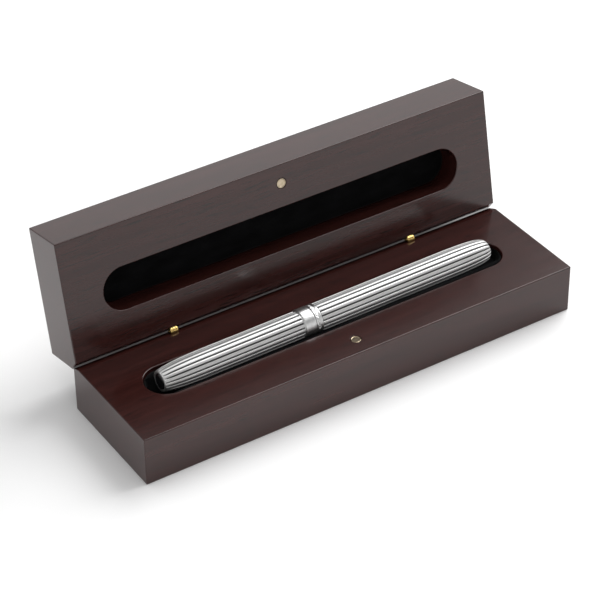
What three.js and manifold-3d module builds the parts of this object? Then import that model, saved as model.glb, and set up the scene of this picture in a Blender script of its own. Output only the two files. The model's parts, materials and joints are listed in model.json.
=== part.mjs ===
// A wooden fountain pen case, lid open, with its fluted pen lying in the routed recess.
// Millimetres. +X runs along the case, +Y towards the hinges, +Z up.
// The origin is the centre of the base block's underside.
import * as THREE from 'three';
import { mergeVertices } from 'three/addons/utils/BufferGeometryUtils.js';
import Module from 'manifold-3d';

const wasm = await Module();
wasm.setup();

// ---- Driving dimensions: case ----
const caseLength = 180;
const caseDepth = 49.4;
const baseHeight = 19.4;
const lidHeight = 19.6;
const closedGap = 0.15;
const openAngle = THREE.MathUtils.degToRad(101.3);
const edgeBevel = 0.5;
const backChamferDepth = 3.6;
const baseChamferDrop = 1.6;
const lidChamferDrop = 3.8;
const recessLength = 150;
const recessWidth = 16.4;
const recessDepth = 9.8;
const liningGap = 0.2;
const lidLiningThickness = 0.8;
const padHeight = 8.8;
const padGrooveRadius = 5.95;

// ---- Driving dimensions: hinges and magnets ----
const pivotInset = 2.15;
const pivotAboveBase = 0.35;
const hingeSpacing = 102;
const barrelRadius = 1.2;
const barrelHoleRadius = 1.35;
const barrelDepth = 10;
const barrelStart = 1.75;
const knuckleRadius = 1.4;
const knuckleWidth = 3.2;
const tongueWidth = 1.0;
const knuckleGap = 0.1;
const knuckleScoopRadius = 1.6;
const pinRadius = 0.45;
const pinHoleRadius = 0.55;
const magnetRadius = 1.85;
const magnetThickness = 3;
const magnetSeatGap = 0.15;
const magnetInset = 7.4;

// ---- Driving dimensions: pen ----
const penRadius = 5.4;
const penAboveBase = 0.75;
const penSkew = THREE.MathUtils.degToRad(0.65);
const capMouthX = -5.7;
const fluteCount = 18;
const fluteDepth = 0.3;
const capShellLength = 57.2;
const capBandLength = 4.6;
const lipRingLength = 2.6;
const barrelLength = 76.2;
const shellBore = 4.7;
const fitGap = 0.1;
const innerCapRadius = 4.55;
const innerCapBore = 3.95;
const sectionTailRadius = 3.6;
const sectionBore = 2.6;
const nibLength = 20;
const nibRadius = 2.45;
const feedRadius = 2.0;

const pivotY = caseDepth / 2 - pivotInset;
const pivotZ = baseHeight + pivotAboveBase;
const lidBottomZ = baseHeight + closedGap;
const lidPivotHeight = lidHeight + lidBottomZ - pivotZ;

// ---- Materials ----
const finish = (color, roughness, metalness = 0) =>
  new THREE.MeshStandardMaterial({ color, roughness, metalness });
const darkWood = finish(0x2a1c1a, 0.3);
const velvet = finish(0x08080a, 0.95);
const brass = finish(0xd9b25a, 0.25, 1);
const magnetSteel = finish(0xcdb98c, 0.2, 1);
const silver = finish(0xd8d8d6, 0.18, 1);
const blackResin = finish(0x0b0b0d, 0.25);
const blackPlastic = finish(0x17171a, 0.5);
const nibSteel = finish(0xc9c9c6, 0.2, 1);
const inkPlastic = finish(0x1a2a5c, 0.3);

// ---- Geometry helpers ----
function solidOf(geometry) {
  const bare = geometry.clone();
  bare.deleteAttribute('normal');
  bare.deleteAttribute('uv');
  const merged = mergeVertices(bare, 1e-5);
  return new wasm.Manifold(new wasm.Mesh({
    numProp: 3,
    vertProperties: Float32Array.from(merged.attributes.position.array),
    triVerts: Uint32Array.from(merged.index.array),
  }));
}

function geometryOf(solid) {
  const mesh = solid.getMesh();
  const geometry = new THREE.BufferGeometry();
  geometry.setAttribute('position', new THREE.BufferAttribute(mesh.vertProperties, 3));
  geometry.setIndex(new THREE.BufferAttribute(mesh.triVerts, 1));
  geometry.computeVertexNormals();
  return geometry;
}

const cut = (geometry, ...tools) =>
  geometryOf(tools.reduce((rest, tool) => rest.subtract(solidOf(tool)), solidOf(geometry)));

const join = (geometry, ...others) =>
  geometryOf(others.reduce((sum, other) => sum.add(solidOf(other)), solidOf(geometry)));

function block(sizeX, sizeY, sizeZ, x = 0, y = 0, z = 0) {
  return new THREE.BoxGeometry(sizeX, sizeY, sizeZ).translate(x, y, z);
}

// A rod from z = from to z = to on the Z axis.
function uprightRod(radius, from, to, sides = 20) {
  const length = to - from;
  return new THREE.CylinderGeometry(radius, radius, length, sides)
    .rotateX(Math.PI / 2)
    .translate(0, 0, (from + to) / 2);
}

// A rod of the given length, centred on the origin, along the X axis.
function crossRod(radius, length, sides = 24) {
  return new THREE.CylinderGeometry(radius, radius, length, sides).rotateZ(Math.PI / 2);
}

// A slab with half-round ends, its long side along X, from z = from to z = to.
function stadium(length, width, from, to) {
  const radius = width / 2;
  const reach = length / 2 - radius;
  const outline = new THREE.Shape();
  outline.absarc(reach, 0, radius, -Math.PI / 2, Math.PI / 2, false);
  outline.absarc(-reach, 0, radius, Math.PI / 2, 3 * Math.PI / 2, false);
  const options = { depth: to - from, bevelEnabled: false, curveSegments: 10 };
  return new THREE.ExtrudeGeometry(outline, options).translate(0, 0, from);
}

// A body of revolution about the X axis. Each profile point is [x, radius].
function turned(profile, sides = 24) {
  const points = profile.map(([x, radius]) => new THREE.Vector2(radius, x));
  return new THREE.LatheGeometry(points, sides).rotateZ(-Math.PI / 2);
}

// A closed profile that starts and ends on the axis.
const closedProfile = (profile) =>
  [[profile[0][0], 0], ...profile, [profile[profile.length - 1][0], 0]];

// A tube along X between two places, with its own inner and outer radius.
function tube(from, to, outer, inner, sides = 24) {
  const edge = [[from, inner], [from, outer], [to, outer], [to, inner], [from, inner]];
  return turned(edge, sides);
}

// Presses the flutes into a turned outer surface. Grooves are deepest between two flutes.
function pressFlutes(geometry) {
  const position = geometry.attributes.position;
  for (let i = 0; i < position.count; i += 1) {
    const y = position.getY(i);
    const z = position.getZ(i);
    const radius = Math.hypot(y, z);
    if (radius > 0.01) {
      const phase = Math.abs(Math.sin(Math.atan2(z, y) * fluteCount / 2));
      const depth = fluteDepth * (1 - phase) ** 2 * Math.min(1, radius / penRadius);
      position.setY(i, y * (radius - depth) / radius);
      position.setZ(i, z * (radius - depth) / radius);
    }
  }
  return geometry;
}

// ---- Assembly helpers ----
const penCase = new THREE.Group();
const lid = new THREE.Group();
const pen = new THREE.Group();
lid.position.set(0, pivotY, pivotZ);
lid.rotation.x = -openAngle;
pen.position.set(0, 0, baseHeight + penAboveBase);
pen.rotation.z = penSkew;
penCase.add(lid, pen);

function addPart(group, name, geometry, material) {
  const mesh = new THREE.Mesh(geometry, material);
  mesh.name = name;
  group.add(mesh);
  return mesh;
}

// ---- Wood blocks ----
// The block's end view has small bevels all round and one wide chamfer on the hinge edge,
// at its top for the base. The lid is the same kind of block turned over. Its steeper chamfer
// comes to rest just clear of the base's back corner, and that is where the lid stops.
function woodBlock(height, chamferDrop) {
  const half = caseDepth / 2;
  const outline = new THREE.Shape([
    [-half + edgeBevel, 0],
    [half - edgeBevel, 0],
    [half, edgeBevel],
    [half, height - chamferDrop],
    [half - backChamferDepth, height],
    [-half + edgeBevel, height],
    [-half, height - edgeBevel],
    [-half, edgeBevel],
  ].map(([y, z]) => new THREE.Vector2(y, z)));
  const options = {
    depth: caseLength - 2 * edgeBevel,
    bevelThickness: edgeBevel,
    bevelSize: edgeBevel,
    bevelOffset: -edgeBevel,
    bevelSegments: 1,
  };
  const alongX = new THREE.Matrix4().makeBasis(
    new THREE.Vector3(0, 1, 0),
    new THREE.Vector3(0, 0, 1),
    new THREE.Vector3(1, 0, 0),
  );
  return new THREE.ExtrudeGeometry(outline, options)
    .translate(0, 0, -options.depth / 2)
    .applyMatrix4(alongX);
}

const hingePlaces = [-hingeSpacing / 2, hingeSpacing / 2];

// The drilled hole and the knuckle's scoop for each hinge, with the pivot at height pivotHeight.
function hingeCuts(pivotHeight) {
  return hingePlaces.flatMap((x) => [
    uprightRod(barrelHoleRadius, pivotHeight - barrelStart - barrelDepth - 0.2, pivotHeight + 3)
      .translate(x, pivotY, 0),
    crossRod(knuckleScoopRadius, knuckleWidth + 0.4).translate(x, pivotY, pivotHeight),
  ]);
}

// Both blocks are cut alike: recess, magnet seat and hinge holes, all from their top face.
function cutWoodBlock(height, chamferDrop, pivotHeight) {
  const seatRadius = magnetRadius + magnetSeatGap;
  return cut(
    woodBlock(height, chamferDrop),
    stadium(recessLength, recessWidth, height - recessDepth, height + 2),
    uprightRod(seatRadius, height - magnetThickness - magnetSeatGap, height + 2)
      .translate(0, -caseDepth / 2 + magnetInset, 0),
    ...hingeCuts(pivotHeight),
  );
}

// Lid pieces are drawn face up like the base's. This turns them over onto the closed lid,
// measured from the pivot, which is the lid group's origin.
function lidFaceDown(geometry) {
  const turnedOver = geometryOf(solidOf(geometry).mirror([0, 0, 1]));
  return turnedOver.translate(0, -pivotY, lidHeight + lidBottomZ - pivotZ);
}

function addWood() {
  addPart(penCase, 'base_block', cutWoodBlock(baseHeight, baseChamferDrop, pivotZ), darkWood);
  addPart(lid, 'lid_block', lidFaceDown(cutWoodBlock(lidHeight, lidChamferDrop, lidPivotHeight)), darkWood);
}

// ---- Linings ----
// The pad lies under the pen and is hollowed along the pen's own axis.
function cradlePad() {
  const floor = baseHeight - recessDepth + liningGap;
  const slab = stadium(recessLength - 2 * liningGap, recessWidth - 2 * liningGap, floor, floor + padHeight);
  const groove = crossRod(padGrooveRadius, recessLength + 10, 40)
    .rotateZ(penSkew)
    .translate(0, 0, baseHeight + penAboveBase);
  return cut(slab, groove);
}

function lidLining() {
  const floor = lidHeight - recessDepth + liningGap;
  return stadium(
    recessLength - 2 * liningGap,
    recessWidth - 2 * liningGap,
    floor,
    floor + lidLiningThickness,
  );
}

function addLinings() {
  addPart(penCase, 'base_cradle_pad', cradlePad(), velvet);
  addPart(lid, 'lid_lining', lidFaceDown(lidLining()), velvet);
}

// ---- Magnets ----
// A plated button magnet with a softened rim, its face just below the block's rim.
function seatedMagnet(height) {
  const top = height - 0.1;
  return turned(closedProfile([
    [top - magnetThickness + 0.15, magnetRadius],
    [top - 0.35, magnetRadius],
    [top - 0.1, magnetRadius - 0.3],
    [top, magnetRadius - 0.75],
  ]), 28)
    .rotateY(-Math.PI / 2)
    .translate(0, -caseDepth / 2 + magnetInset, 0);
}

function addMagnets() {
  addPart(penCase, 'base_magnet', seatedMagnet(baseHeight), magnetSteel);
  addPart(lid, 'lid_magnet', lidFaceDown(seatedMagnet(lidHeight)), magnetSteel);
}

// ---- Hinges ----
// Each hinge is a pair of small barrels, one sunk in each block, joined by a pin.
// These shapes are drawn with the pivot at the origin and the barrel running down.
const cheekOuter = knuckleWidth / 2;
const cheekInner = tongueWidth / 2 + knuckleGap;

function pivotHole() {
  return crossRod(pinHoleRadius, knuckleWidth + 2, 16);
}

function baseHingeBarrel() {
  const barrel = uprightRod(barrelRadius, -barrelStart - barrelDepth, -barrelStart);
  const neckOuter = 1.0;
  const neckWidth = 1.1;
  const cheeks = [-1, 1].flatMap((side) => [
    crossRod(knuckleRadius, cheekOuter - cheekInner).translate(side * (cheekOuter + cheekInner) / 2, 0, 0),
    block(neckOuter - cheekInner, neckWidth, 2.4, side * (neckOuter + cheekInner) / 2, 0, -1.2),
  ]);
  return cut(join(barrel, ...cheeks), pivotHole());
}

function lidHingeBarrel() {
  const barrel = uprightRod(barrelRadius, barrelStart, barrelStart + barrelDepth);
  const neck = block(tongueWidth, 1.9, 2.4, 0, 0, 1.2);
  return cut(join(barrel, neck, crossRod(knuckleRadius, tongueWidth)), pivotHole());
}

function hingePin() {
  return crossRod(pinRadius, knuckleWidth, 16);
}

function addHinges() {
  ['left', 'right'].forEach((side, index) => {
    const x = hingePlaces[index];
    const place = (geometry) => geometry.translate(x, pivotY, pivotZ);
    addPart(penCase, `${side}_hinge_base_barrel`, place(baseHingeBarrel()), brass);
    addPart(penCase, `${side}_hinge_pin`, place(hingePin()), brass);
    addPart(lid, `${side}_hinge_lid_barrel`, lidHingeBarrel().translate(x, 0, 0), brass);
  });
}

// ---- Pen ----
// The cap lies to the left of its mouth, the barrel to the right. The nib points left.
const capBandStart = capMouthX - lipRingLength - capBandLength;
const capShellStart = capBandStart - capShellLength;
const barrelEnd = capMouthX + barrelLength;

function capShell() {
  const end = capShellStart;
  const outer = pressFlutes(turned(closedProfile([
    [end, 3.85],
    [end + 0.5, 4.05],
    [end + 3, 4.5],
    [end + 7, 4.95],
    [end + 12, 5.2],
    [end + 17, 5.28],
    [capBandStart - 0.35, 5.28],
  ]), 4 * fluteCount));
  const bore = turned(closedProfile([
    [end + 2.2, 3.4],
    [end + 14, shellBore],
    [capBandStart + 1, shellBore],
  ]));
  const discSeat = turned(closedProfile([[end - 1, 3.1], [end + 3, 3.1]]));
  return cut(outer, bore, discSeat);
}

function capEndDisc() {
  return turned(closedProfile([
    [capShellStart - 0.25, 2.4],
    [capShellStart - 0.05, 2.95],
    [capShellStart + 2.1, 2.95],
  ]));
}

function capBand() {
  const from = capBandStart;
  const to = capBandStart + capBandLength;
  return turned([
    [from, shellBore],
    [from, 5.35],
    [from + 0.3, 5.6],
    [to - 0.3, 5.65],
    [to - fitGap, 5.5],
    [to - fitGap, shellBore],
    [from, shellBore],
  ], 48);
}

function capLipRing() {
  const from = capMouthX - lipRingLength;
  return turned([
    [from, shellBore],
    [from, 5.5],
    [from + 0.3, 5.62],
    [capMouthX - 0.8, 5.62],
    [capMouthX - 0.4, 5.7],
    [capMouthX, 5.55],
    [capMouthX, shellBore],
    [from, shellBore],
  ], 48);
}

function innerCap() {
  const from = capShellStart + 15;
  const to = capBandStart - 2;
  return cut(
    turned(closedProfile([[from, innerCapRadius], [to, innerCapRadius]])),
    turned(closedProfile([[from + 1.5, innerCapBore], [to + 1, innerCapBore]])),
  );
}

// The barrel is fluted over its rounded end.
function barrelShell() {
  const from = capMouthX + 0.4;
  const outer = pressFlutes(turned(closedProfile([
    [from, 5.4],
    [barrelEnd - 19, 5.45],
    [barrelEnd - 12, 5.35],
    [barrelEnd - 6, 5.05],
    [barrelEnd - 2.2, 4.65],
    [barrelEnd - 0.8, 4.1],
    [barrelEnd, 3.1],
  ]), 4 * fluteCount));
  const bore = turned(closedProfile([
    [from - 1, shellBore],
    [barrelEnd - 12, shellBore],
    [barrelEnd - 3, 3.5],
  ]));
  return cut(outer, bore);
}

// The threaded collar between section and barrel.
function threadRing() {
  return tube(capMouthX - 9, capMouthX + 6, shellBore - 0.2, sectionTailRadius + 0.15);
}

function gripSection() {
  const from = capMouthX - 32;
  const to = capMouthX - 9.2;
  const body = turned(closedProfile([
    [from, 3.4],
    [from + 0.8, 3.7],
    [from + 3, 3.35],
    [to - 2, 3.8],
    [to, 3.8],
    [to, sectionTailRadius],
    [to + 12, sectionTailRadius],
  ]));
  return cut(body, turned(closedProfile([[from - 1, sectionBore], [to + 14, sectionBore]])));
}

// The nib is a curved sheet with a slit, a breather hole and a bead at its point.
function nib() {
  const root = capMouthX - 26;
  const tip = root - nibLength;
  const middle = (root + tip) / 2;
  const outline = new THREE.Shape();
  outline.moveTo(root, 2.35);
  outline.lineTo(root - 6, 2.35);
  outline.quadraticCurveTo(root - 12, 2.5, tip + 0.7, 0.4);
  outline.lineTo(tip + 0.7, -0.4);
  outline.quadraticCurveTo(root - 12, -2.5, root - 6, -2.35);
  outline.lineTo(root, -2.35);
  const upright = new THREE.ExtrudeGeometry(outline, { depth: 3, bevelEnabled: false, curveSegments: 6 });
  const slit = block(12, 0.12, 6, tip + 6.7, 0, 1.5);
  const breather = uprightRod(0.5, 0, 4, 12).translate(tip + 12.5, 0, 0);
  const bead = new THREE.SphereGeometry(0.5, 12, 8).translate(tip + 0.5, 0, nibRadius - 0.15);
  const sheet = solidOf(upright)
    .intersect(solidOf(crossRod(nibRadius, nibLength + 8, 28).translate(middle, 0, 0)))
    .subtract(solidOf(crossRod(nibRadius - 0.28, nibLength + 10, 28).translate(middle, 0, 0)))
    .subtract(solidOf(slit))
    .subtract(solidOf(breather));
  return geometryOf(sheet.add(solidOf(bead)));
}

// The feed is a rod under the nib, cut to a slope at its front.
function nibFeed() {
  const root = capMouthX - 24;
  const tip = root - 17;
  const rod = crossRod(feedRadius, root - tip).translate((root + tip) / 2, 0, 0);
  const slope = block(16, 6, 5, 8, 0, -2.5).rotateY(0.26).translate(tip - 1, 0, 1.4);
  return cut(rod, slope);
}

function inkCartridge() {
  const from = capMouthX - 12;
  return turned(closedProfile([
    [from, 1.6],
    [from + 2.5, 1.6],
    [from + 3.5, 2.3],
    [from + 16, 2.3],
    [from + 17.5, 3.5],
    [from + 37, 3.5],
    [from + 38, 3.1],
  ]));
}

function addCap() {
  addPart(pen, 'cap_shell', capShell(), silver);
  addPart(pen, 'cap_end_disc', capEndDisc(), blackResin);
  addPart(pen, 'cap_band', capBand(), silver);
  addPart(pen, 'cap_lip_ring', capLipRing(), silver);
  addPart(pen, 'inner_cap', innerCap(), blackPlastic);
}

function addWriter() {
  addPart(pen, 'barrel_shell', barrelShell(), silver);
  addPart(pen, 'thread_ring', threadRing(), brass);
  addPart(pen, 'grip_section', gripSection(), blackPlastic);
  addPart(pen, 'nib', nib(), nibSteel);
  addPart(pen, 'nib_feed', nibFeed(), blackPlastic);
  addPart(pen, 'ink_cartridge', inkCartridge(), inkPlastic);
}

addWood();
addLinings();
addMagnets();
addHinges();
addCap();
addWriter();

export default penCase;
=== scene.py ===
"""A wooden fountain pen case standing open, with its fluted pen. Metres, in the part's own frame.

+X runs along the case, +Y towards the hinges, +Z up. The base block stands on z = 0.
"""
import json
import math

import bmesh
import bpy
from mathutils import Matrix, Vector, noise


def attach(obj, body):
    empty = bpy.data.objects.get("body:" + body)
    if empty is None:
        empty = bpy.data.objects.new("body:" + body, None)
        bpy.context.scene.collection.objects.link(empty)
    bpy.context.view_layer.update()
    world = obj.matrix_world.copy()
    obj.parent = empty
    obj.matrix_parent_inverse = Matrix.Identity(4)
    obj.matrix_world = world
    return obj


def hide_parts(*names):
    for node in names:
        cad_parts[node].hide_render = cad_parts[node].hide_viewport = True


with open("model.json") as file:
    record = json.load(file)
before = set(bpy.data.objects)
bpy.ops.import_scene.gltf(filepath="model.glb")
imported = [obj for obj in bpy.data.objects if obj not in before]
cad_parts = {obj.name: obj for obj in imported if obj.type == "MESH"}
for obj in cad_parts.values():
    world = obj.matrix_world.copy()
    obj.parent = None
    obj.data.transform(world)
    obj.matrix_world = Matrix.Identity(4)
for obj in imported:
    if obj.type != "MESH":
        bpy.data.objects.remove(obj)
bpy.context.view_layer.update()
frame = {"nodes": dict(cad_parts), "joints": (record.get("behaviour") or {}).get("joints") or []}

MM = 0.001

# ---- Case sizes, in millimetres ----
CASE_LENGTH = 180
CASE_DEPTH = 49.4
BASE_HEIGHT = 19.4
LID_HEIGHT = 19.6
CLOSED_GAP = 0.15
BACK_CHAMFER_DEPTH = 3.6
BASE_CHAMFER_DROP = 1.6
LID_CHAMFER_DROP = 3.8
EDGE_RADIUS = 0.4
EDGE_SEGMENTS = 5
RECESS_LENGTH = 150
RECESS_WIDTH = 16.4
RECESS_DEPTH = 9.8
CUTTER_FLOOR_RADIUS = 0.3
RIM_RADIUS = 0.35
LINING_GAP = 0.2
LID_LINING = 0.8
PAD_HEIGHT = 8.8
PAD_GROOVE_RADIUS = 5.95
MAGNET_RADIUS = 1.85
MAGNET_INSET = 7.4
MAGNET_HEIGHT = 2.85
MAGNET_SINK = 0.1
MAGNET_SEAT_GAP = 0.15
MAGNET_SEAT_DEPTH = 3.15

# ---- Hinge sizes, in millimetres ----
BARREL_RADIUS = 1.2
BARREL_HOLE = 1.35
BARREL_START = 1.75
BARREL_DEPTH = 10
KNUCKLE_RADIUS = 1.5
KNUCKLE_WIDTH = 3.2
TONGUE_WIDTH = 1.0
KNUCKLE_GAP = 0.1
SCOOP_RADIUS = 1.6
SCOOP_GAP = 0.2
BARREL_END_GAP = 0.2
GRIP_PITCH = 1.2
GRIP_DEPTH = 0.12
PIN_RADIUS = 0.45
PIN_GAP = 0.1
HINGE_PLACES = {"left": -51, "right": 51}

# ---- Pen sizes, in millimetres ----
PEN_ABOVE_BASE = 0.75
CAP_MOUTH = -5.7
CAP_SHELL_LENGTH = 57.2
CAP_BAND_LENGTH = 4.6
LIP_RING_LENGTH = 2.6
PEN_BARREL_LENGTH = 76.2
SHELL_BORE = 4.7
CAP_RADIUS = 5.28
BARREL_MOUTH_RADIUS = 5.42
BARREL_WIDEST_RADIUS = 5.45
BAND_RADIUS = 5.62
LIP_ENGRAVED_RADIUS = 5.58
END_DISC_RADIUS = 2.95
OVALS = 24
OVAL_DEPTH = 0.12
FLUTES = 18
FLUTE_DEPTH = 0.34
FLUTE_CROWN = 0.2
GROOVE_HALF_WIDTH = 0.2

# Where the pen's parts start and end along its own axis.
BAND_START = CAP_MOUTH - LIP_RING_LENGTH - CAP_BAND_LENGTH
SHELL_START = BAND_START - CAP_SHELL_LENGTH
BARREL_END = CAP_MOUTH + PEN_BARREL_LENGTH

# Points across one flute, as shares of its width: close together in the grooves, wider on the land.
FLUTE_STEPS = [0.04 * k for k in range(6)]
FLUTE_STEPS += [0.26 + 0.08 * k for k in range(7)]
FLUTE_STEPS += [0.8 + 0.04 * k for k in range(5)]

# ---- Camera, floor and light, in metres and degrees, the lens in millimetres ----
CAMERA_PLACE = Vector((-0.3695, -0.5613, 0.5178))
CAMERA_AZIMUTH = 32.49
CAMERA_ELEVATION = 36.2
CAMERA_ROLL = -0.74
CAMERA_LENS = 140.8
FLOOR_SIZE = 6.0
KEY_PLACE = (0.85, 0.2, 0.95)
KEY_AIM = (0.1, 0, 0)
KEY_SIZE = 1.2
KEY_WATTS = 15
WORLD_STRENGTH = 1.12

# Edges that turn by more than this many degrees are shaded sharp.
SHARP_ANGLE = 35

lid_joint = next(j for j in frame["joints"] if j["name"] == "lid_hinge")
cap_joint = next(j for j in frame["joints"] if j["name"] == "cap_pull")
PIVOT = Vector(lid_joint["pos_m"])
OPEN_ANGLE = math.radians(lid_joint["range_deg"][1])
PEN_SKEW = math.atan2(-cap_joint["axis"][1], -cap_joint["axis"][0])
PIVOT_HEIGHT = PIVOT.z / MM
LID_BOTTOM = BASE_HEIGHT + CLOSED_GAP
LID_PIVOT_HEIGHT = LID_HEIGHT + LID_BOTTOM - PIVOT_HEIGHT
PIVOT_Y = PIVOT.y / MM

# Each body's pieces are drawn in millimetres. The lid is drawn face up like the base, then turned
# over onto the base and swung open. The pen is drawn about the X axis.
TO_METRES = Matrix.Scale(MM, 4)
TURN_OVER = Matrix.Translation((0, 0, LID_HEIGHT + LID_BOTTOM)) @ Matrix.Scale(-1, 4, (0, 0, 1))
SWING_OPEN = (
    Matrix.Translation(PIVOT)
    @ Matrix.Rotation(-OPEN_ANGLE, 4, "X")
    @ Matrix.Translation(-PIVOT)
)
LID_PLACE = SWING_OPEN @ TO_METRES @ TURN_OVER
BASE_PLACE = TO_METRES
PEN_PLACE = (
    TO_METRES
    @ Matrix.Translation((0, 0, BASE_HEIGHT + PEN_ABOVE_BASE))
    @ Matrix.Rotation(PEN_SKEW, 4, "Z")
)


# ---- Mesh helpers: every shape is drawn in millimetres and placed by a matrix ----
def new_object(name, mesh):
    made = bpy.data.objects.new(name, mesh)
    bpy.context.scene.collection.objects.link(made)
    return made


def from_points(name, points, faces):
    mesh = bpy.data.meshes.new(name)
    mesh.from_pydata([tuple(p) for p in points], [], faces)
    shape = bmesh.new()
    shape.from_mesh(mesh)
    bmesh.ops.remove_doubles(shape, verts=shape.verts, dist=1e-5)
    bmesh.ops.recalc_face_normals(shape, faces=shape.faces)
    shape.to_mesh(mesh)
    shape.free()
    return new_object(name, mesh)


def skin_faces(rings, closed_loop):
    """Faces over rings of equal point count. Open skins are capped with a flat face at each end."""
    count = len(rings[0])
    faces = []
    last = len(rings) if closed_loop else len(rings) - 1
    for row in range(last):
        here = row * count
        there = ((row + 1) % len(rings)) * count
        for i in range(count):
            j = (i + 1) % count
            faces.append((here + i, here + j, there + j, there + i))
    if not closed_loop:
        faces.append(tuple(range(count)))
        faces.append(tuple(range(last * count, len(rings) * count)))
    return faces


def lofted(name, rings, closed_loop=False):
    """A skin over rings. A closed loop joins the last ring to the first and has no end caps."""
    points = [point for ring in rings for point in ring]
    return from_points(name, points, skin_faces(rings, closed_loop))


def circle_ring(x, radius, sides):
    """A ring about the X axis."""
    turns = [2 * math.pi * i / sides for i in range(sides)]
    return [(x, radius * math.cos(t), radius * math.sin(t)) for t in turns]


def turned(name, profile, sides=96, closed_loop=False):
    """A body of revolution about X. The profile's points are (x, radius)."""
    return lofted(name, [circle_ring(x, r, sides) for x, r in profile], closed_loop)


def rounded(profile, radius, steps=4):
    """Rounds the inner corners of an open (x, radius) profile with short arcs."""
    out = [profile[0]]
    for before, corner, after in zip(profile, profile[1:], profile[2:]):
        a = Vector(before) - Vector(corner)
        b = Vector(after) - Vector(corner)
        reach = min(radius, a.length / 2.01, b.length / 2.01)
        start = Vector(corner) + a.normalized() * reach
        end = Vector(corner) + b.normalized() * reach
        for k in range(steps + 1):
            t = k / steps
            mid = start * (1 - t) ** 2 + Vector(corner) * 2 * t * (1 - t) + end * t ** 2
            out.append(tuple(mid))
    out.append(profile[-1])
    return out


def stadium_ring(length, width, z, arc_steps=32, side_steps=24):
    """A ring with half-round ends, its long side along X."""
    radius = width / 2
    reach = length / 2 - radius
    right = [(reach, -math.pi / 2 + math.pi * k / arc_steps) for k in range(arc_steps + 1)]
    left = [(-reach, math.pi / 2 + math.pi * k / arc_steps) for k in range(arc_steps + 1)]
    ring = [(x + radius * math.cos(t), radius * math.sin(t), z) for x, t in right]
    ring += [(reach - 2 * reach * k / side_steps, radius, z) for k in range(1, side_steps)]
    ring += [(x + radius * math.cos(t), radius * math.sin(t), z) for x, t in left]
    ring += [(-reach + 2 * reach * k / side_steps, -radius, z) for k in range(1, side_steps)]
    return ring


def apply_modifiers(piece):
    bpy.context.view_layer.update()
    evaluated = piece.evaluated_get(bpy.context.evaluated_depsgraph_get())
    mesh = bpy.data.meshes.new_from_object(evaluated)
    piece.modifiers.clear()
    piece.data = mesh
    return piece


def boolean(piece, other, operation):
    change = piece.modifiers.new(operation.lower(), "BOOLEAN")
    change.operation = operation
    change.solver = "EXACT"
    change.object = other
    apply_modifiers(piece)
    bpy.data.objects.remove(other)
    return piece


def cut(piece, *tools):
    for tool in tools:
        boolean(piece, tool, "DIFFERENCE")
    return piece


def join(piece, *others):
    for other in others:
        boolean(piece, other, "UNION")
    return piece


def bevelled(piece, width, segments, angle):
    soften = piece.modifiers.new("soften", "BEVEL")
    soften.width = width
    soften.segments = segments
    soften.limit_method = "ANGLE"
    soften.angle_limit = math.radians(angle)
    return apply_modifiers(piece)


def place(piece, matrix):
    """Moves a piece's mesh. A mirroring matrix turns it inside out, so its faces are flipped back."""
    piece.data.transform(matrix)
    if matrix.determinant() < 0:
        piece.data.flip_normals()
    return piece


def finish_mesh(piece, material):
    """Smooth shading with flat faces kept flat, and one material."""
    piece.data.materials.clear()
    piece.data.materials.append(material)
    piece.data.polygons.foreach_set("use_smooth", [True] * len(piece.data.polygons))
    piece.data.set_sharp_from_angle(angle=math.radians(SHARP_ANGLE))
    weighted = piece.modifiers.new("weighted normals", "WEIGHTED_NORMAL")
    weighted.keep_sharp = True
    return piece


def stand_in(piece, matrix, material, body, slot, *nodes):
    """Puts a finished piece on its body in place of the plain CAD nodes."""
    place(piece, matrix)
    finish_mesh(piece, material)
    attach(piece, body)
    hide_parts(*nodes)
    return piece


# ---- Material helpers ----
def new_material(name):
    material = bpy.data.materials.new(name)
    material.use_nodes = True
    shader = material.node_tree.nodes["Principled BSDF"]
    return material, material.node_tree, shader


def set_inputs(shader, **values):
    for key, value in values.items():
        shader.inputs[key.replace("_", " ")].default_value = value


def add_node(tree, kind, **settings):
    node = tree.nodes.new(kind)
    for key, value in settings.items():
        if key in node.inputs:
            node.inputs[key].default_value = value
        else:
            setattr(node, key, value)
    return node


def scaled_place(tree, scale):
    """Object coordinates stretched by scale."""
    coordinates = add_node(tree, "ShaderNodeTexCoord")
    mapping = add_node(tree, "ShaderNodeMapping")
    mapping.inputs["Scale"].default_value = scale
    tree.links.new(coordinates.outputs["Object"], mapping.inputs["Vector"])
    return mapping.outputs["Vector"]


def noise_of(tree, vector, scale, detail=4.0, roughness=0.55):
    texture = add_node(tree, "ShaderNodeTexNoise", Scale=scale, Detail=detail, Roughness=roughness)
    tree.links.new(vector, texture.inputs["Vector"])
    return texture.outputs["Fac"]


def ramp(tree, value, stops):
    node = add_node(tree, "ShaderNodeValToRGB")
    elements = node.color_ramp.elements
    while len(elements) < len(stops):
        elements.new(0.5)
    for element, (position, colour) in zip(elements, stops):
        element.position = position
        element.color = (*colour, 1)
    tree.links.new(value, node.inputs["Fac"])
    return node.outputs["Color"]


def ranged(tree, value, low, high):
    node = add_node(tree, "ShaderNodeMapRange")
    node.inputs["To Min"].default_value = low
    node.inputs["To Max"].default_value = high
    tree.links.new(value, node.inputs["Value"])
    return node.outputs["Result"]


def bump_from(tree, value, strength, distance):
    node = add_node(tree, "ShaderNodeBump", Strength=strength, Distance=distance)
    tree.links.new(value, node.inputs["Height"])
    return node.outputs["Normal"]


def mixed(tree, factor, first, second):
    node = add_node(tree, "ShaderNodeMix", data_type="RGBA")
    tree.links.new(factor, node.inputs["Factor"])
    for value, socket in ((first, node.inputs[6]), (second, node.inputs[7])):
        if isinstance(value, tuple):
            socket.default_value = (*value, 1)
        else:
            tree.links.new(value, socket)
    return node.outputs[2]


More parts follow.
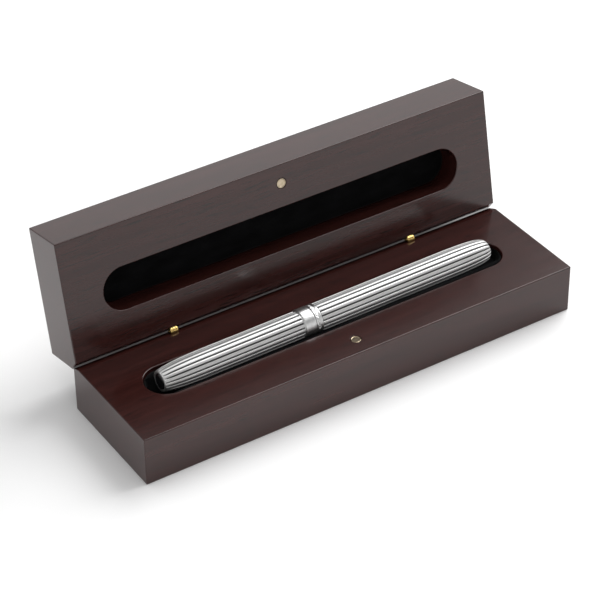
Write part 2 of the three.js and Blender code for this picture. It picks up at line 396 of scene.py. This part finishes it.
# ---- Materials ----
def dark_wood():
    """Very dark stained wood under a satin lacquer, its grain along X."""
    material, tree, shader = new_material("dark_wood")
    grain = scaled_place(tree, (14, 260, 260))
    figure = noise_of(tree, grain, 1.0, detail=5.0, roughness=0.6)
    tone = ramp(tree, figure, [
        (0.3, (0.025, 0.0066, 0.0054)),
        (0.55, (0.035, 0.0098, 0.0082)),
        (0.75, (0.046, 0.0135, 0.0115)),
    ])
    pores = noise_of(tree, scaled_place(tree, (110, 1900, 1900)), 1.0, detail=2.0)
    pore_mask = ramp(tree, pores, [(0.56, (0, 0, 0)), (0.68, (1, 1, 1))])
    colour = mixed(tree, pore_mask, tone, (0.012, 0.0045, 0.004))
    tree.links.new(colour, shader.inputs["Base Color"])
    haze = noise_of(tree, scaled_place(tree, (40, 90, 90)), 1.0, detail=3.0)
    tree.links.new(ranged(tree, haze, 0.14, 0.19), shader.inputs["Roughness"])
    tree.links.new(bump_from(tree, pore_mask, 0.06, 0.00004), shader.inputs["Normal"])
    set_inputs(shader, IOR=1.52)
    return material


def black_velvet():
    """Short black pile: almost no reflection but a faint sheen along its folds."""
    material, tree, shader = new_material("black_velvet")
    pile = noise_of(tree, scaled_place(tree, (4200, 4200, 4200)), 1.0, detail=2.0)
    brushed = noise_of(tree, scaled_place(tree, (90, 260, 260)), 1.0, detail=3.0)
    shade = ramp(tree, brushed, [(0.35, (0.0016, 0.0016, 0.0018)), (0.7, (0.0042, 0.0042, 0.0046))])
    tree.links.new(shade, shader.inputs["Base Color"])
    tree.links.new(bump_from(tree, pile, 0.8, 0.00025), shader.inputs["Normal"])
    set_inputs(shader, Roughness=1.0, Specular_IOR_Level=0.05)
    set_inputs(shader, Sheen_Weight=0.06, Sheen_Roughness=0.4)
    return material


def metal(name, colour, dark, roughness):
    """A polished plated metal with faint wear in its tone and roughness."""
    material, tree, shader = new_material(name)
    wear = noise_of(tree, scaled_place(tree, (900, 900, 900)), 1.0, detail=3.0)
    tone = ramp(tree, wear, [(0.3, dark), (0.6, colour)])
    tree.links.new(tone, shader.inputs["Base Color"])
    spread = ranged(tree, wear, roughness * 0.8, roughness * 1.25)
    tree.links.new(spread, shader.inputs["Roughness"])
    set_inputs(shader, Metallic=1.0)
    return material


def fluted_silver():
    """Polished silver, with painted shade that darkens the grooves where the flutes meet. A point
    attribute on the mesh says where.
    """
    material, tree, shader = new_material("fluted_silver")
    wear = noise_of(tree, scaled_place(tree, (300, 2400, 2400)), 1.0, detail=3.0)
    polish = ramp(tree, wear, [(0.3, (0.52, 0.52, 0.515)), (0.65, (0.58, 0.58, 0.575))])
    # Painted shade: the grooves are darkened towards near black, standing in for the shade inside the
    # narrow grooves.
    painted_groove_shade = add_node(tree, "ShaderNodeAttribute", attribute_name="painted_groove_shade").outputs["Fac"]
    groove_shade_mask = ramp(tree, painted_groove_shade, [(0.12, (0, 0, 0)), (0.6, (1, 1, 1))])
    tree.links.new(mixed(tree, groove_shade_mask, polish, (0.10, 0.10, 0.102)), shader.inputs["Base Color"])
    tree.links.new(ranged(tree, wear, 0.42, 0.49), shader.inputs["Roughness"])
    set_inputs(shader, Metallic=1.0)
    return material


def plastic(name, colour, roughness):
    """Moulded plastic with a slight unevenness."""
    material, tree, shader = new_material(name)
    cloud = noise_of(tree, scaled_place(tree, (500, 500, 500)), 1.0, detail=3.0)
    lighter = tuple(c * 1.6 + 0.001 for c in colour)
    tree.links.new(ramp(tree, cloud, [(0.3, colour), (0.7, lighter)]), shader.inputs["Base Color"])
    tree.links.new(ranged(tree, cloud, roughness * 0.8, roughness * 1.2), shader.inputs["Roughness"])
    tree.links.new(bump_from(tree, cloud, 0.05, 0.0001), shader.inputs["Normal"])
    return material


wood = dark_wood()
velvet = black_velvet()
brass = metal("polished_brass", (0.83, 0.60, 0.22), (0.66, 0.44, 0.14), 0.2)
plated = metal("plated_magnet", (0.50, 0.42, 0.31), (0.38, 0.31, 0.21), 0.16)
silver = metal("polished_silver", (0.68, 0.68, 0.675), (0.58, 0.58, 0.575), 0.32)
steel = metal("nib_steel", (0.78, 0.78, 0.77), (0.66, 0.66, 0.65), 0.18)
flutes = fluted_silver()
resin = plastic("black_resin", (0.004, 0.004, 0.0045), 0.12)
black_plastic = plastic("black_plastic", (0.008, 0.008, 0.009), 0.4)
ink = plastic("ink_plastic", (0.01, 0.014, 0.06), 0.15)


# ---- Wood blocks ----
def plain_block(name, height, chamfer_drop):
    """The block's end view is a rectangle with one wide chamfer on the hinge edge."""
    half = CASE_DEPTH / 2
    section = [
        (-half, 0),
        (half, 0),
        (half, height - chamfer_drop),
        (half - BACK_CHAMFER_DEPTH, height),
        (-half, height),
    ]
    ends = [-CASE_LENGTH / 2, CASE_LENGTH / 2]
    piece = lofted(name, [[(x, y, z) for y, z in section] for x in ends])
    return bevelled(piece, EDGE_RADIUS, EDGE_SEGMENTS, angle=70)


def rim_cutter(name, ring_at, bottom, top):
    """A cutter that leaves a small radius at its floor and rounds the rim where it breaks out.

    ring_at(offset, z) gives the cutter's outline, grown by offset, at height z. The last ring flares
    out above the block's face, so that the cut runs clear past it.
    """
    floor = CUTTER_FLOOR_RADIUS
    quarter = [math.radians(a) for a in (0, 30, 60, 90)]
    rings = [ring_at(-floor * (1 - math.sin(a)), bottom + floor * (1 - math.cos(a))) for a in quarter]
    break_out = [math.radians(a) for a in (0, 20, 40, 60, 75)]
    rings += [
        ring_at(RIM_RADIUS * (1 - math.cos(a)), top - RIM_RADIUS * (1 - math.sin(a)))
        for a in break_out
    ]
    rings.append(ring_at(RIM_RADIUS + 0.9, top + 0.25))
    return lofted(name, rings)


def recess_cutter(height):
    def ring_at(offset, z):
        return stadium_ring(RECESS_LENGTH + 2 * offset, RECESS_WIDTH + 2 * offset, z)

    return rim_cutter("recess_cutter", ring_at, height - RECESS_DEPTH, height)


def round_ring(x, y, z, radius, sides=64):
    """A level ring about a vertical axis."""
    turns = [2 * math.pi * i / sides for i in range(sides)]
    return [(x + radius * math.cos(t), y + radius * math.sin(t), z) for t in turns]


def magnet_seat_cutter(height):
    y = -CASE_DEPTH / 2 + MAGNET_INSET
    seat = MAGNET_RADIUS + MAGNET_SEAT_GAP

    def ring_at(offset, z):
        return round_ring(0, y, z, seat + offset * 0.5)

    return rim_cutter("magnet_seat_cutter", ring_at, height - MAGNET_SEAT_DEPTH, height)


def hinge_cutters(pivot_height):
    """For each hinge a hole for its barrel and a scoop for its knuckle."""
    tools = []
    bottom = pivot_height - BARREL_START - BARREL_DEPTH - BARREL_END_GAP
    scoop_half = KNUCKLE_WIDTH / 2 + SCOOP_GAP
    scoop_profile = [(-scoop_half, SCOOP_RADIUS), (scoop_half, SCOOP_RADIUS)]
    for x in HINGE_PLACES.values():
        rings = [round_ring(x, PIVOT_Y, z, BARREL_HOLE) for z in (bottom, pivot_height + 3)]
        tools.append(lofted("hinge_hole_cutter", rings))
        scoop = turned("hinge_scoop_cutter", scoop_profile, 64)
        scoop.data.transform(Matrix.Translation((x, PIVOT_Y, pivot_height)))
        tools.append(scoop)
    return tools


def wood_block(name, height, chamfer_drop, pivot_height):
    return cut(
        plain_block(name, height, chamfer_drop),
        recess_cutter(height),
        magnet_seat_cutter(height),
        *hinge_cutters(pivot_height),
    )


def make_blocks():
    base = wood_block("base_wood", BASE_HEIGHT, BASE_CHAMFER_DROP, PIVOT_HEIGHT)
    stand_in(base, BASE_PLACE, wood, "base", "dark_wood", "base_block")
    lid = wood_block("lid_wood", LID_HEIGHT, LID_CHAMFER_DROP, LID_PIVOT_HEIGHT)
    stand_in(lid, LID_PLACE, wood, "lid", "dark_wood", "lid_block")


# ---- Velvet ----
def velvet_slab(name, length, width, floor, top_of):
    """A padded stadium-shaped piece. top_of(x, y, inset) gives the height of its upper side."""
    edge = 0.35
    inner_rings = 9
    rings = [stadium_ring(length - 2 * edge, width - 2 * edge, floor, side_steps=120)]
    rings.append(stadium_ring(length, width, floor + edge, side_steps=120))
    insets = [width / 2 * (k / inner_rings) ** 1.4 for k in range(inner_rings)]
    for inset in insets:
        flat = stadium_ring(length - 2 * inset, width - 2 * inset, 0, side_steps=120)
        rings.append([(x, y, top_of(x, y, inset)) for x, y, _ in flat])
    spine = stadium_ring(length - width + 0.02, 0.02, 0, side_steps=120)
    rings.append([(x, y, top_of(x, y, width / 2)) for x, y, _ in spine])
    return lofted(name, rings)


def cradle_pad():
    """Velvet-covered padding, pressed down along the pen's line, with the velvet up the end walls."""
    floor = BASE_HEIGHT - RECESS_DEPTH + LINING_GAP
    top = floor + PAD_HEIGHT
    axis = BASE_HEIGHT + PEN_ABOVE_BASE
    length = RECESS_LENGTH - 2 * LINING_GAP
    width = RECESS_WIDTH - 2 * LINING_GAP
    pile_drop = 0.15
    wall_velvet = 0.45
    wall_slope = 0.5

    def top_of(x, y, inset):
        roll = 0.5 * (1 - min(1, inset / 1.6)) ** 2.2
        across = (y - x * math.tan(PEN_SKEW)) * math.cos(PEN_SKEW)
        pressed = axis - math.sqrt(max(0, PAD_GROOVE_RADIUS ** 2 - across ** 2))
        ripple = 0.10 * noise.noise(Vector((x * 0.22, y * 0.5, 3.1)))
        ripple += 0.04 * noise.noise(Vector((x * 0.9, y * 1.6, 7.7)))
        free = top - pile_drop - roll + ripple
        if abs(across) >= PAD_GROOVE_RADIUS:
            return free
        from_wall = min(1, max(0, (inset - wall_velvet) / wall_slope))
        return free + (min(free, pressed - 0.02 + ripple * 0.3) - free) * from_wall

    return velvet_slab("cradle_velvet", length, width, floor, top_of)


def lid_velvet():
    """Thin padding with velvet over it on the floor of the lid's recess."""
    floor = LID_HEIGHT - RECESS_DEPTH + LINING_GAP
    length = RECESS_LENGTH - 2 * LINING_GAP
    width = RECESS_WIDTH - 2 * LINING_GAP

    def top_of(x, y, inset):
        roll = 0.35 * (1 - min(1, inset / 0.8)) ** 2
        swell = 0.05 * noise.noise(Vector((x * 0.12, y * 0.3, 1.7)))
        return floor + LID_LINING - 0.06 - roll + swell

    return velvet_slab("lid_velvet", length, width, floor, top_of)


def make_linings():
    pad = stand_in(cradle_pad(), BASE_PLACE, velvet, "base", "black_velvet", "base_cradle_pad")
    lining = stand_in(lid_velvet(), LID_PLACE, velvet, "lid", "black_velvet", "lid_lining")


# ---- Magnets ----
def magnet(name, height):
    """A plated button with a crowned face inside a fine raised rim."""
    top = height - MAGNET_SINK
    bottom = top - MAGNET_HEIGHT
    edge = MAGNET_RADIUS
    face_radius = edge - 0.42
    face_crown = 0.012
    side = [(bottom, edge - 0.15), (bottom + 0.15, edge), (top - 0.22, edge)]
    rim = [(top - 0.06, edge - 0.08), (top - 0.03, edge - 0.2), (top - 0.08, edge - 0.34)]
    turns = [math.radians(12 * k) for k in range(8)]
    face = [(top - 0.16 + face_crown * math.sin(a), face_radius * math.cos(a)) for a in turns]
    piece = turned(name, side + rim + face, 64)
    piece.data.transform(Matrix.Rotation(-math.pi / 2, 4, "Y"))
    piece.data.transform(Matrix.Translation((0, -CASE_DEPTH / 2 + MAGNET_INSET, 0)))
    return piece


def make_magnets():
    base = magnet("base_button_magnet", BASE_HEIGHT)
    stand_in(base, BASE_PLACE, plated, "base", "plated_magnet", "base_magnet")
    lid = magnet("lid_button_magnet", LID_HEIGHT)
    stand_in(lid, LID_PLACE, plated, "lid", "plated_magnet", "lid_magnet")


# ---- Hinges: drawn with the pivot at the origin ----
def disc(name, from_x, to_x, radius, edge_low=0.1, edge_high=0.1):
    """A short rod along X with its two rims rounded by edge_low and edge_high."""
    quarter = [math.radians(a) for a in (0, 22, 45, 67, 90)]
    arc = [(1 - math.cos(a), 1 - math.sin(a)) for a in quarter]
    low = [(from_x + edge_low * along, radius - edge_low * inward) for along, inward in arc]
    high = [(to_x - edge_high * along, radius - edge_high * inward) for along, inward in arc]
    return turned(name, low + high[::-1], 64)


def box_piece(name, low, high):
    (x0, y0, z0), (x1, y1, z1) = low, high
    ring = [(x0, y0), (x1, y0), (x1, y1), (x0, y1)]
    return lofted(name, [[(x, y, z) for x, y in ring] for z in (z0, z1)])


def sunk_barrel(name, direction):
    """A barrel on the Z axis with shallow gripping rings, below or above the pivot."""
    start = BARREL_START
    end = BARREL_START + BARREL_DEPTH
    radius = BARREL_RADIUS
    waist = radius - GRIP_DEPTH
    profile = [(start, waist), (start + GRIP_DEPTH, radius)]
    grip = start + 2.5
    while grip < end - 1:
        profile += [(grip, radius), (grip + 0.12, waist), (grip + 0.3, waist), (grip + 0.42, radius)]
        grip += GRIP_PITCH
    profile += [(end - 0.25, radius), (end, radius - 0.25)]
    piece = turned(name, profile, 48)
    piece.data.transform(Matrix.Rotation(-math.pi / 2, 4, "Y"))
    if direction < 0:
        piece.data.transform(Matrix.Rotation(math.pi, 4, "X"))
    return piece


def pin_hole():
    return disc("pin_hole", -3, 3, PIN_RADIUS + PIN_GAP)


def base_barrel(name):
    """The barrel sunk in the base, with a cheek on each side of the lid's tongue."""
    inner = TONGUE_WIDTH / 2 + KNUCKLE_GAP
    outer = KNUCKLE_WIDTH / 2
    piece = sunk_barrel(name, -1)
    for side in (-1, 1):
        low, high = sorted((side * inner, side * outer))
        neck_low, neck_high = sorted((side * inner, side * 1.0))
        neck = box_piece("neck", (neck_low, -0.55, -2.4), (neck_high, 0.55, 0))
        soft = (0.1, 0.6) if side > 0 else (0.6, 0.1)
        join(piece, neck, disc("cheek", low, high, KNUCKLE_RADIUS, *soft))
    return cut(piece, pin_hole())


def lid_barrel(name):
    """The barrel sunk in the lid, with one tongue between the base's cheeks."""
    half = TONGUE_WIDTH / 2
    piece = sunk_barrel(name, 1)
    neck = box_piece("neck", (-half, -0.95, 0), (half, 0.95, 2.4))
    join(piece, neck, disc("tongue", -half, half, KNUCKLE_RADIUS))
    return cut(piece, pin_hole())


def make_hinges():
    for side, x in HINGE_PLACES.items():
        at_pivot = TO_METRES @ Matrix.Translation((x, PIVOT_Y, PIVOT_HEIGHT))
        base = base_barrel(f"{side}_hinge_fork")
        stand_in(base, at_pivot, brass, "base", "hinge_brass", f"{side}_hinge_base_barrel")
        lid = lid_barrel(f"{side}_hinge_tongue")
        stand_in(lid, SWING_OPEN @ at_pivot, brass, "lid", "hinge_brass", f"{side}_hinge_lid_barrel")
        pin = disc(f"{side}_hinge_pin_rod", -KNUCKLE_WIDTH / 2, KNUCKLE_WIDTH / 2, PIN_RADIUS)
        stand_in(pin, at_pivot, brass, "base", "hinge_brass", f"{side}_hinge_pin")


# ---- Pen ----
def smooth_profile(points, steps=6):
    """A smooth curve through (x, radius) points."""
    out = []
    for i in range(len(points) - 1):
        p0 = Vector(points[max(i - 1, 0)])
        p1 = Vector(points[i])
        p2 = Vector(points[i + 1])
        p3 = Vector(points[min(i + 2, len(points) - 1)])
        for k in range(steps):
            t = k / steps
            curve = 2 * p1 + (p2 - p0) * t + (2 * p0 - 5 * p1 + 4 * p2 - p3) * t ** 2
            curve += (3 * p1 - p0 - 3 * p2 + p3) * t ** 3
            out.append(tuple(curve / 2))
    out.append(tuple(points[-1]))
    return out


def flute_shape(share):
    """How far the surface lies below the flute's crown, and how deep into the grooves it is, 0 to 1,
    which also sets the painted shade there.
    """
    from_groove = min(share, 1 - share)
    in_groove = max(0, 1 - from_groove / GROOVE_HALF_WIDTH)
    across = abs(share - 0.5) * 2
    return FLUTE_DEPTH * in_groove ** 0.8 + FLUTE_CROWN * across ** 2, in_groove


def fluted_ring(x, radius, strength):
    """A ring about X with the flutes pressed in by strength, and each point's weight of painted shade in
    the grooves.
    """
    ring, shade_marks = [], []
    for flute in range(FLUTES):
        for share in FLUTE_STEPS:
            turn = 2 * math.pi * (flute + share) / FLUTES
            drop, shade_mark = flute_shape(share)
            r = radius - drop * strength
            ring.append((x, r * math.cos(turn), r * math.sin(turn)))
            shade_marks.append(shade_mark * min(1, strength * 1.5))
    return ring, shade_marks


def fluted_shell(name, outer, inner):
    """A shell with flutes pressed into its outside, closed from the inner profile back to the outer.

    outer holds (x, radius, strength) and inner holds (x, radius).
    """
    rings, shade_marks = [], []
    for x, radius, strength in outer:
        ring, shade_mark = fluted_ring(x, radius, strength)
        rings.append(ring)
        shade_marks += shade_mark
    for x, radius in inner:
        ring, _ = fluted_ring(x, radius, 0)
        rings.append(ring)
        shade_marks += [0.0] * len(ring)
    points = [point for ring in rings for point in ring]
    mesh = bpy.data.meshes.new(name)
    mesh.from_pydata(points, [], skin_faces(rings, closed_loop=True))
    # Each point's weight of painted shade in the grooves, read by the silver material.
    attribute = mesh.attributes.new("painted_groove_shade", "FLOAT", "POINT")
    attribute.data.foreach_set("value", shade_marks)
    shape = bmesh.new()
    shape.from_mesh(mesh)
    bmesh.ops.recalc_face_normals(shape, faces=shape.faces)
    shape.to_mesh(mesh)
    shape.free()
    return new_object(name, mesh)


def cap_shell():
    end = SHELL_START
    stop = BAND_START - 0.3
    taper_end = end + 17
    taper = smooth_profile([
        (end + 0.55, 4.08),
        (end + 3, 4.5),
        (end + 7, 4.95),
        (end + 12, 5.2),
        (taper_end, CAP_RADIUS),
    ])
    lip = [(end + 0.1, 3.1), (end + 0.02, 3.4), (end, 3.7), (end + 0.12, 3.9)]
    outer = [(x, r, 0) for x, r in lip]
    outer.append((end + 0.35, 4.0, 0.15))
    outer += [(x, r, min(1, 0.25 + (x - end) / 6)) for x, r in taper]
    steps = 24
    run = stop - 0.5 - taper_end
    outer += [(taper_end + run * k / steps, CAP_RADIUS, 1) for k in range(1, steps + 1)]
    outer += [(stop - 0.2, 5.25, 1), (stop, 5.0, 0.6)]
    inner = [(stop, SHELL_BORE), (end + 14, SHELL_BORE), (end + 2.4, 3.4), (end + 2.3, 3.1)]
    return fluted_shell("fluted_cap", outer, inner)


def barrel_shell():
    start = CAP_MOUTH + 0.14
    end = BARREL_END
    straight_start = start + 0.5
    taper_start = end - 19
    outer = [(start, 5.1, 0.5), (start + 0.12, 5.36, 0.9), (straight_start, BARREL_MOUTH_RADIUS, 1)]
    steps = 28
    run = taper_start - straight_start
    widening = BARREL_WIDEST_RADIUS - BARREL_MOUTH_RADIUS
    for k in range(1, steps + 1):
        share = k / steps
        outer.append((straight_start + run * share, BARREL_MOUTH_RADIUS + widening * share, 1))
    taper = smooth_profile([
        (taper_start, BARREL_WIDEST_RADIUS),
        (end - 12, 5.33),
        (end - 6, 4.98),
        (end - 2.6, 4.45),
        (end - 0.9, 3.75),
        (end, 2.6),
    ])
    outer += [(x, r, min(1, 0.3 + (end - x) / 3)) for x, r in taper[1:]]
    outer += [(end, 2.2, 0.1), (end - 0.02, 1.0, 0), (end - 0.02, 0.02, 0)]
    inner = [(end - 3, 0.02), (end - 3, 3.2), (end - 12, SHELL_BORE), (start, SHELL_BORE)]
    return fluted_shell("fluted_barrel", outer, inner)


def cap_band():
    """The plain band, with a narrower neck that fills the gap next to the cap's shell."""
    start = BAND_START
    stop = start + CAP_BAND_LENGTH - 0.1
    outside = [
        (start - 0.28, SHELL_BORE),
        (start - 0.28, 5.0),
        (start, 5.0),
        (start, 5.3),
        (start + 0.18, 5.5),
        (start + 0.4, 5.57),
        (start + 2.2, BAND_RADIUS),
        (stop - 0.45, BAND_RADIUS),
        (stop - 0.22, 5.55),
        (stop, 5.38),
        (stop, SHELL_BORE),
    ]
    return turned("polished_cap_band", rounded(outside, 0.08), 144, closed_loop=True)


def oval_line(share, along):
    """How deep the engraving is, share of an oval's width round the ring and along mm off its middle."""
    if abs(along) >= 0.66:
        return 0
    away = math.hypot(share / 0.36, along / 0.5)
    return OVAL_DEPTH * math.exp(-((away - 1) / 0.28) ** 2)


def lip_ring():
    """The narrow ring at the cap's mouth, engraved all round with a plain row of ovals."""
    start = CAP_MOUTH - LIP_RING_LENGTH
    middle = start + 0.95
    profile = [(start, SHELL_BORE), (start, 5.35), (start + 0.15, 5.52)]
    profile += [(start + 0.3 + 1.3 * k / 12, LIP_ENGRAVED_RADIUS) for k in range(13)]
    profile += [(start + 1.75, 5.5), (start + 1.85, 5.5), (start + 2.0, 5.66), (start + 2.25, 5.7)]
    profile += [(CAP_MOUTH - 0.12, 5.62), (CAP_MOUTH, 5.45), (CAP_MOUTH, SHELL_BORE)]
    sides = 288
    rings = []
    for x, radius in profile:
        ring = []
        for i in range(sides):
            turn = 2 * math.pi * i / sides
            share = (i * OVALS / sides) % 1 - 0.5
            r = radius - oval_line(share, x - middle)
            ring.append((x, r * math.cos(turn), r * math.sin(turn)))
        rings.append(ring)
    return lofted("ornamented_lip_ring", rings, closed_loop=True)


def end_disc():
    """A black domed disc let into the cap's end, with a fine step round it."""
    start = SHELL_START
    dome = [(start - 0.25, 0.02), (start - 0.245, 0.8), (start - 0.22, 1.6), (start - 0.16, 2.3)]
    edge = [(start - 0.05, 2.75), (start + 0.08, 2.92)]
    side = [(start + 0.3, END_DISC_RADIUS), (start + 2.1, END_DISC_RADIUS)]
    return turned("black_end_disc", dome + edge + side)


def make_pen():
    pieces = [
        (cap_shell(), flutes, "cap", "polished_silver", "cap_shell"),
        (cap_band(), silver, "cap", "polished_silver", "cap_band"),
        (lip_ring(), silver, "cap", "polished_silver", "cap_lip_ring"),
        (end_disc(), resin, "cap", "black_resin", "cap_end_disc"),
        (barrel_shell(), flutes, "pen", "polished_silver", "barrel_shell"),
    ]
    for piece, material, body, slot, node in pieces:
        stand_in(piece, PEN_PLACE, material, body, slot, node)


def finish_cad_nodes():
    """The inner pieces keep their CAD shape and get their own material."""
    looks = {
        "inner_cap": black_plastic,
        "thread_ring": brass,
        "grip_section": black_plastic,
        "nib": steel,
        "nib_feed": black_plastic,
        "ink_cartridge": ink,
    }
    for node, material in looks.items():
        piece = frame["nodes"][node]
        piece.data.materials.clear()
        piece.data.materials.append(material)


# ---- Camera, floor and light ----
def make_camera():
    data = bpy.data.cameras.new("camera")
    data.lens = CAMERA_LENS
    data.sensor_width = 36
    data.clip_start = 0.01
    camera = new_object("camera", data)
    azimuth = math.radians(CAMERA_AZIMUTH)
    elevation = math.radians(CAMERA_ELEVATION)
    forward = Vector((
        math.sin(azimuth) * math.cos(elevation),
        math.cos(azimuth) * math.cos(elevation),
        -math.sin(elevation),
    ))
    roll = Matrix.Rotation(math.radians(CAMERA_ROLL), 4, "Z")
    turn = forward.to_track_quat("-Z", "Y").to_matrix().to_4x4()
    camera.matrix_world = Matrix.Translation(CAMERA_PLACE) @ turn @ roll
    bpy.context.scene.camera = camera


def make_floor():
    half = FLOOR_SIZE / 2
    corners = [(-half, -half, 0), (half, -half, 0), (half, half, 0), (-half, half, 0)]
    floor = from_points("floor", corners, [(0, 1, 2, 3)])
    material, tree, shader = new_material("pale_floor")
    paper = noise_of(tree, scaled_place(tree, (30, 30, 30)), 1.0)
    tone = ramp(tree, paper, [(0.3, (0.95, 0.95, 0.95)), (0.7, (0.97, 0.97, 0.97))])
    tree.links.new(tone, shader.inputs["Base Color"])
    set_inputs(shader, Roughness=0.9, Specular_IOR_Level=0.1)
    floor.data.materials.append(material)


def area_light(name, place_at, aim, size, watts):
    data = bpy.data.lights.new(name, "AREA")
    data.shape = "DISK"
    data.size = size
    data.energy = watts
    lamp = new_object(name, data)
    lamp.location = place_at
    lamp.rotation_euler = (Vector(aim) - Vector(place_at)).to_track_quat("-Z", "Y").to_euler()


def make_light():
    """A world bright at the horizon and overhead and dimmer in between, with one soft key light."""
    world = bpy.data.worlds.new("studio")
    world.use_nodes = True
    tree = world.node_tree
    background = tree.nodes["Background"]
    direction = add_node(tree, "ShaderNodeTexCoord").outputs["Generated"]
    split = add_node(tree, "ShaderNodeSeparateXYZ")
    tree.links.new(direction, split.inputs["Vector"])
    sky = ramp(tree, split.outputs["Z"], [
        (0.0, (1, 1, 1)),
        (0.3, (0.8, 0.8, 0.8)),
        (0.5, (0.3, 0.3, 0.3)),
        (0.7, (0.35, 0.35, 0.35)),
        (1.0, (1, 1, 1)),
    ])
    tree.links.new(sky, background.inputs["Color"])
    background.inputs["Strength"].default_value = WORLD_STRENGTH
    bpy.context.scene.world = world
    area_light("key", KEY_PLACE, KEY_AIM, KEY_SIZE, KEY_WATTS)
    bpy.context.scene.view_settings.view_transform = "Standard"


make_camera()
make_floor()
make_light()
make_blocks()
make_linings()
make_magnets()
make_hinges()
make_pen()
finish_cad_nodes()
